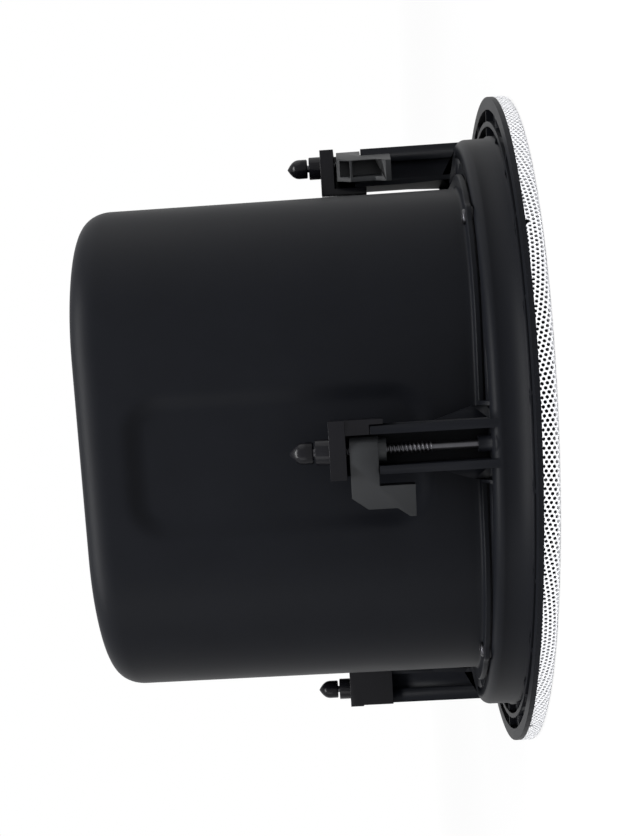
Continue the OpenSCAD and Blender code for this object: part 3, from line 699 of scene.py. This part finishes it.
class SPEAKER_OT_back_can(bpy.types.Operator):
    """Makes the moulded can with its crowned rear face, sunk panels and wiring pocket"""
    bl_idname = "speaker.back_can"
    bl_label = "Back can"

    def execute(self, context):
        can = context.scene.speaker.can
        rings = can_rings(can)
        centre = [0, can.pocket_place]
        ends = [[*centre, rings[0][0, 2]], [*centre, rings[-1][0, 2]]]
        points = np.vstack([*rings, ends])
        faces = face_outwards(points, ring_faces(len(rings), len(rings[0])))
        place("can_moulding", build_mesh("can_moulding", points, faces), FINISHES["moulded_black"],
              "housing", ["back_can"])
        return {"FINISHED"}


class SPEAKER_OT_grille(bpy.types.Operator):
    """Makes the grille of perforated sheet, wrapped round its rolled edge"""
    bl_idname = "speaker.grille"
    bl_label = "Grille"

    def execute(self, context):
        points, faces, distance = grille_sheet(context.scene.speaker.grille)
        faces = face_outwards(points, faces)
        end = distance.max()
        names = ("grille_centre", "grille_field", "grille_outer", "grille_border")
        limits = [end * math.sqrt(part / len(names)) for part in range(1, len(names))]
        limits = [-math.inf, *limits, math.inf]
        for name, low, high in zip(names, limits, limits[1:]):
            some = []
            for part in faces:
                middle = distance[part].mean(1)
                some.append(part[(middle >= low) & (middle < high)])
            own_points, own_faces = only_used(points, some)
            place(name, build_mesh(name, own_points, own_faces, 50), FINISHES["grille_paint"],
                  "grille", ["grille"])
        return {"FINISHED"}


# Screws

# Clamp screws: height of the head, radius of the stub in the tip, spacing of the rings on the
# thread, height of the tip's nose
HEAD_HEIGHT = 2.8 * MM
STUB_RADIUS = 1.5 * MM
THREAD_STEP = 0.15 * MM
NOSE_HEIGHT = 5.4 * MM


def rod_shape(screw):
    """A clamp screw on the axis: round head, plain shank, thread and the stub in its tip."""
    low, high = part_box("clamp_screw_1")
    thread_foot = DRUM_TOP + screw.thread_from
    thread_top = foot_of("screw_tip_1") - 0.8 * MM
    head = (high.x - low.x) / 2
    head_top = low.z + HEAD_HEIGHT
    profile = [(head - 0.5 * MM, low.z), (head, low.z + 0.5 * MM), (head, head_top - 0.3 * MM),
               (head - 0.3 * MM, head_top), (screw.shank, head_top), (screw.shank, thread_foot)]
    levels = np.arange(thread_foot + 0.05 * MM, thread_top, THREAD_STEP)
    profile += [(screw.core, level) for level in levels]
    profile += [(STUB_RADIUS, thread_top), (STUB_RADIUS, high.z)]

    def thread(angle, level):
        """Ridge height: a triangle wave of level over pitch less angle over a full turn."""
        phase = (level / screw.pitch - angle / (2 * math.pi)) % 1.0
        wave = np.clip(1.6 - 4.2 * np.abs(phase - 0.5), 0, 1)
        inside = (level > thread_foot) & (level < thread_top)
        return np.where(inside, (screw.thread - screw.core) * wave, 0.0)

    return lathe(profile, 28, thread)


def tip_shape():
    """A screw's bullet-shaped tip on the axis: its nose narrows by height to the power 2.4."""
    low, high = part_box("screw_tip_1")
    radius = (high.x - low.x) / 2
    profile = [(radius - 0.35 * MM, low.z), (radius, low.z + 0.35 * MM)]
    profile += [(radius * (1 - t ** 2.4) + 1e-6, high.z - NOSE_HEIGHT * (1 - t))
                for t in np.linspace(0, 1, 26)]
    return lathe(profile, 40)


class SPEAKER_OT_screws(bpy.types.Operator):
    """Makes the four clamp screws with their threads and bullet-shaped tips"""
    bl_idname = "speaker.screws"
    bl_label = "Clamp screws"

    def execute(self, context):
        rod_points, rod_faces = rod_shape(context.scene.speaker.screw)
        tip_points, tip_faces = tip_shape()
        for number in CLAMPS:
            out, _ = clamp_axes(number)
            shift = np.array(out) * CLAMP_RADIUS
            body = "clamp_screw_%d" % number
            place("threaded_rod_%d" % number,
                  build_mesh("threaded_rod", rod_points + shift, rod_faces),
                  FINISHES["screw_steel"], body, [body])
            place("bullet_tip_%d" % number,
                  build_mesh("bullet_tip", tip_points + shift, tip_faces, 50),
                  FINISHES["cap_black"], body, ["screw_tip_%d" % number])
        return {"FINISHED"}


# Clamps and baffle

# Distance of the arm's crease from its screw, and the inward slope beyond it
ARM_CREASE = 4.4 * MM
ARM_SLOPE = 0.28


def bend_arm(shape, number):
    """Bends the arm of a clamp inwards past its crease.

    The shape is cut along the crease, and every point beyond it moves towards the axis by the
    bend's slope times its distance from the crease."""
    out, across = clamp_axes(number)
    along = -across
    crease = out * CLAMP_RADIUS + along * ARM_CREASE
    everything = [*shape.verts, *shape.edges, *shape.faces]
    bmesh.ops.bisect_plane(shape, geom=everything, plane_co=crease, plane_no=along, dist=1e-6)
    for point in shape.verts:
        past = (point.co - crease).dot(along)
        if past > 0:
            point.co -= out * past * ARM_SLOPE


def softened(node, name, width, finish, body, change=None):
    """A copy of a hard-edged part, merged and given rounded edges by a Bevel modifier."""
    shape = bmesh.new()
    shape.from_mesh(frame["nodes"][node].data)
    bmesh.ops.remove_doubles(shape, verts=shape.verts, dist=MERGE)
    bmesh.ops.dissolve_limit(shape, angle_limit=math.radians(1), verts=shape.verts,
                             edges=shape.edges)
    if change is not None:
        change(shape)
    mesh = bpy.data.meshes.new(name)
    shape.to_mesh(mesh)
    shape.free()
    mesh.shade_smooth()
    piece = place(name, mesh, finish, body, [node])
    bevel = piece.modifiers.new("Rounded edges", "BEVEL")
    bevel.width = width
    bevel.segments = 2
    bevel.limit_method = "ANGLE"
    bevel.angle_limit = math.radians(35)
    bevel.harden_normals = True
    return piece


# The upright ribs beside the posts: their distance from the post's middle plane, and each
# height over the drum at which their upper points lie, with the height that they get
RIB_PLACE = (12.5 * MM, 16.0 * MM)
RIB_TOPS = ((10 * MM, 2.8 * MM), (1.5 * MM, 0.3 * MM))
MERGE = 0.002 * MM


class SPEAKER_OT_baffle(bpy.types.Operator):
    """Makes the baffle with smooth round surfaces and lower brace ribs beside its posts"""
    bl_idname = "speaker.baffle"
    bl_label = "Baffle"

    def execute(self, context):
        shape = bmesh.new()
        shape.from_mesh(frame["nodes"]["baffle"].data)
        bmesh.ops.remove_doubles(shape, verts=shape.verts, dist=MERGE)
        for number in CLAMPS:
            out, across = clamp_axes(number)
            for point in shape.verts:
                side = abs(point.co.dot(across))
                if not RIB_PLACE[0] < side < RIB_PLACE[1] or point.co.dot(out) < 0:
                    continue
                for height, lowered in RIB_TOPS:
                    if abs(point.co.z - DRUM_TOP - height) < 0.05 * MM:
                        point.co.z = DRUM_TOP + lowered
        mesh = bpy.data.meshes.new("baffle_moulding")
        shape.to_mesh(mesh)
        shape.free()
        mesh.shade_smooth()
        mesh.set_sharp_from_angle(angle=math.radians(25))
        place("baffle_moulding", mesh, FINISHES["moulded_black"], "housing",
              ["baffle"])
        return {"FINISHED"}


# Corner screws of the can: radii of head, socket and shank, then heights of edge and dome
CORNER_HEAD = 2.9 * MM
CORNER_SOCKET = 1.2 * MM
CORNER_SHANK = 1.4 * MM
CORNER_EDGE = 0.45 * MM
CORNER_DOME = 1.0 * MM


class SPEAKER_OT_corner_screws(bpy.types.Operator):
    """Makes the four low round heads of the screws that hold the can"""
    bl_idname = "speaker.corner_screws"
    bl_label = "Corner screws"

    def execute(self, context):
        low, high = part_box("can_screws")
        seat = CAN_FOOT + context.scene.speaker.can.rim_height
        edge = seat + CORNER_EDGE
        profile = [(CORNER_SHANK, low.z), (CORNER_SHANK, seat), (CORNER_HEAD, seat),
                   (CORNER_HEAD, edge)]
        profile += [(CORNER_SOCKET + (CORNER_HEAD - CORNER_SOCKET) * math.cos(turn),
                     edge + CORNER_DOME * math.sin(turn))
                    for turn in np.linspace(0, math.pi / 2, 9)[1:]]
        profile += [(CORNER_SOCKET, seat + 0.5 * MM)]
        points, faces = lathe(profile, 32)
        middle = high.x - SCREW_INSET
        for number, (x, y) in enumerate(((1, 1), (-1, 1), (-1, -1), (1, -1)), 1):
            shift = np.array([x * middle, y * middle, 0])
            place("corner_screw_%d" % number,
                  build_mesh("corner_screw", points + shift, faces),
                  FINISHES["black_screw"], "housing",
                  ["can_screws"] if number == 1 else [])
        return {"FINISHED"}


class SPEAKER_OT_clamps(bpy.types.Operator):
    """Rounds the edges of the swinging arms and the post caps"""
    bl_idname = "speaker.clamps"
    bl_label = "Clamp arms and caps"

    def execute(self, context):
        for number in CLAMPS:
            softened("clamp_arm_%d" % number, "swing_arm_%d" % number, 0.3 * MM,
                     FINISHES["arm_grey"], "clamp_arm_%d" % number,
                     lambda shape: bend_arm(shape, number))
            softened("clamp_cap_%d" % number, "post_cap_%d" % number, 0.35 * MM,
                     FINISHES["cap_black"], "housing")
        return {"FINISHED"}


# Studio

WHITE = (1.0, 1.0, 1.0)
FLOOR_REACH = 6.0
FLOOR_LEVEL = -0.2 * MM

# Distances from the axis between which the floor's share of white rises to one
FADE = (0.35, 1.1)

# Each lamp: its place, the point it looks at, its width and height, all in metres
LAMPS = {
    "key": ((0.12, 0.8, 0.3), (0.0, 0.0, 0.08), 0.9, 0.5),
    "low": ((0.6, -0.6, 0.25), (0.0, 0.0, 0.08), 0.35, 0.8),
    "rear": ((0.34, 0.03, 0.76), (0.1, 0.0, 0.17), 0.9, 0.14),
}

# Camera found from the photograph: place, axes of its picture, focal length and framing
CAMERA_PLACE = (0.56834, 0.02733, 0.06712)
CAMERA_RIGHT = (-0.037901, -0.060443, -0.997452)
CAMERA_DOWN = (0.142388, -0.98831, 0.054479)
CAMERA_AHEAD = (-0.989085, -0.139961, 0.046064)
PICTURE_HEIGHT = 836
FOCAL_PIXELS = 1230.1
CENTRE_ROW = 551.5
SENSOR = 36.0


def area_lamp(name, place_at, look_at, width, height, watts):
    """A rectangular lamp that points at a place."""
    data = bpy.data.lights.new(name, "AREA")
    data.shape = "RECTANGLE"
    data.size, data.size_y = width, height
    data.energy = watts
    lamp = bpy.data.objects.new(name, data)
    lamp.location = place_at
    away = Vector(look_at) - Vector(place_at)
    lamp.rotation_euler = away.to_track_quat("-Z", "Y").to_euler()
    bpy.context.scene.collection.objects.link(lamp)
    return lamp


def white_to_the_eye(tree):
    """A factor of 1 for camera, glossy and transmission rays, and of 0 for the light."""
    paths = tree.nodes.new("ShaderNodeLightPath")
    first = tree.nodes.new("ShaderNodeMath")
    second = tree.nodes.new("ShaderNodeMath")
    first.operation = second.operation = "MAXIMUM"
    tree.links.new(paths.outputs["Is Camera Ray"], first.inputs[0])
    tree.links.new(paths.outputs["Is Glossy Ray"], first.inputs[1])
    tree.links.new(first.outputs[0], second.inputs[0])
    tree.links.new(paths.outputs["Is Transmission Ray"], second.inputs[1])
    return second.outputs[0]


def mix_into(output_kind, tree, factor, first, second):
    """Sends a mix of two shaders to the output of a node tree."""
    output = tree.nodes.new(output_kind)
    mix = tree.nodes.new("ShaderNodeMixShader")
    for number, wire in enumerate((factor, first.outputs[0], second.outputs[0])):
        tree.links.new(wire, mix.inputs[number])
    tree.links.new(mix.outputs[0], output.inputs[0])


def coloured(tree, kind, colour_of_it, strength=None):
    """A shader node with a plain colour and, where it has one, a strength."""
    made = tree.nodes.new(kind)
    made.inputs["Color"].default_value = (*colour_of_it, 1.0)
    if strength is not None:
        made.inputs["Strength"].default_value = strength
    return made


def make_world(studio):
    """A dim even light on the object, and plain white for the eye and in reflections."""
    world = bpy.data.worlds.new("studio world")
    bpy.context.scene.world = world
    world.use_nodes = True
    tree = world.node_tree
    tree.nodes.clear()
    mix_into("ShaderNodeOutputWorld", tree, white_to_the_eye(tree),
             coloured(tree, "ShaderNodeBackground", (0.96, 0.97, 1.0), studio.ambient),
             coloured(tree, "ShaderNodeBackground", WHITE, 1.0))


def make_floor(studio):
    """A pale floor, which keeps a share of its shadow near the object and is white far off."""
    corners = [(x * FLOOR_REACH, y * FLOOR_REACH, FLOOR_LEVEL)
               for x, y in ((-1, -1), (1, -1), (1, 1), (-1, 1))]
    mesh = build_mesh("floor", np.array(corners), [np.array([[0, 1, 2, 3]])])
    piece = bpy.data.objects.new("floor", mesh)
    bpy.context.scene.collection.objects.link(piece)
    cover = bpy.data.materials.new("pale floor")
    cover.use_nodes = True
    tree = cover.node_tree
    tree.nodes.clear()
    spot = tree.nodes.new("ShaderNodeTexCoord")
    distance = tree.nodes.new("ShaderNodeVectorMath")
    distance.operation = "LENGTH"
    tree.links.new(spot.outputs["Object"], distance.inputs[0])
    whiteness = tree.nodes.new("ShaderNodeMapRange")
    for name, value in (("From Min", FADE[0]), ("From Max", FADE[1]),
                        ("To Min", studio.floor_share), ("To Max", 1.0)):
        whiteness.inputs[name].default_value = value
    tree.links.new(distance.outputs["Value"], whiteness.inputs["Value"])
    factor = tree.nodes.new("ShaderNodeMath")
    factor.operation = "MULTIPLY"
    tree.links.new(white_to_the_eye(tree), factor.inputs[0])
    tree.links.new(whiteness.outputs[0], factor.inputs[1])
    mix_into("ShaderNodeOutputMaterial", tree, factor.outputs[0],
             coloured(tree, "ShaderNodeBsdfDiffuse", (0.86, 0.86, 0.87)),
             coloured(tree, "ShaderNodeEmission", WHITE, 1.0))
    mesh.materials.append(cover)


def make_camera():
    """The camera of the photograph."""
    data = bpy.data.cameras.new("camera")
    data.sensor_fit = "AUTO"
    data.sensor_width = SENSOR
    data.lens = FOCAL_PIXELS * SENSOR / PICTURE_HEIGHT
    data.shift_y = (CENTRE_ROW - PICTURE_HEIGHT / 2) / PICTURE_HEIGHT
    camera = bpy.data.objects.new("camera", data)
    axes = Matrix((CAMERA_RIGHT, -Vector(CAMERA_DOWN), -Vector(CAMERA_AHEAD))).transposed()
    camera.matrix_world = Matrix.Translation(CAMERA_PLACE) @ axes.to_4x4()
    bpy.context.scene.collection.objects.link(camera)
    bpy.context.scene.camera = camera


class SPEAKER_OT_stage(bpy.types.Operator):
    """Makes the pale floor, the soft studio light, the white world and the camera"""
    bl_idname = "speaker.stage"
    bl_label = "Studio"

    def execute(self, context):
        studio = context.scene.speaker.studio
        context.scene.view_settings.view_transform = "Standard"
        make_world(studio)
        make_floor(studio)
        for name, (spot, target, width, height) in LAMPS.items():
            area_lamp(name + " lamp", spot, target, width, height, getattr(studio, name))
        make_camera()
        return {"FINISHED"}


class SPEAKER_PT_panel(bpy.types.Panel):
    """Lists the steps that dress the loudspeaker"""
    bl_idname = "SPEAKER_PT_panel"
    bl_label = "Loudspeaker"
    bl_space_type = "VIEW_3D"
    bl_region_type = "UI"
    bl_category = "Loudspeaker"

    def draw(self, context):
        for step in STEPS:
            self.layout.operator(step.bl_idname)
        for name in ("can", "grille", "screw", "colours", "studio"):
            box = self.layout.box()
            group = getattr(context.scene.speaker, name)
            for key in group.__annotations__:
                box.prop(group, key)


STEPS = (SPEAKER_OT_stage, SPEAKER_OT_finishes, SPEAKER_OT_back_can, SPEAKER_OT_grille,
         SPEAKER_OT_screws, SPEAKER_OT_baffle, SPEAKER_OT_corner_screws, SPEAKER_OT_clamps)
CLASSES = (CanSizes, GrilleSizes, ScrewSizes, FinishColours, StudioSettings, SpeakerSettings,
           *STEPS, SPEAKER_PT_panel)


def register():
    for item in CLASSES:
        bpy.utils.register_class(item)
    bpy.types.Scene.speaker = bpy.props.PointerProperty(type=SpeakerSettings)


def unregister():
    del bpy.types.Scene.speaker
    for item in reversed(CLASSES):
        bpy.utils.unregister_class(item)


def main():
    """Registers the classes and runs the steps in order."""
    register()
    for step in STEPS:
        group, name = step.bl_idname.split(".")
        getattr(getattr(bpy.ops, group), name)()


if __name__ == "__main__":
    main()
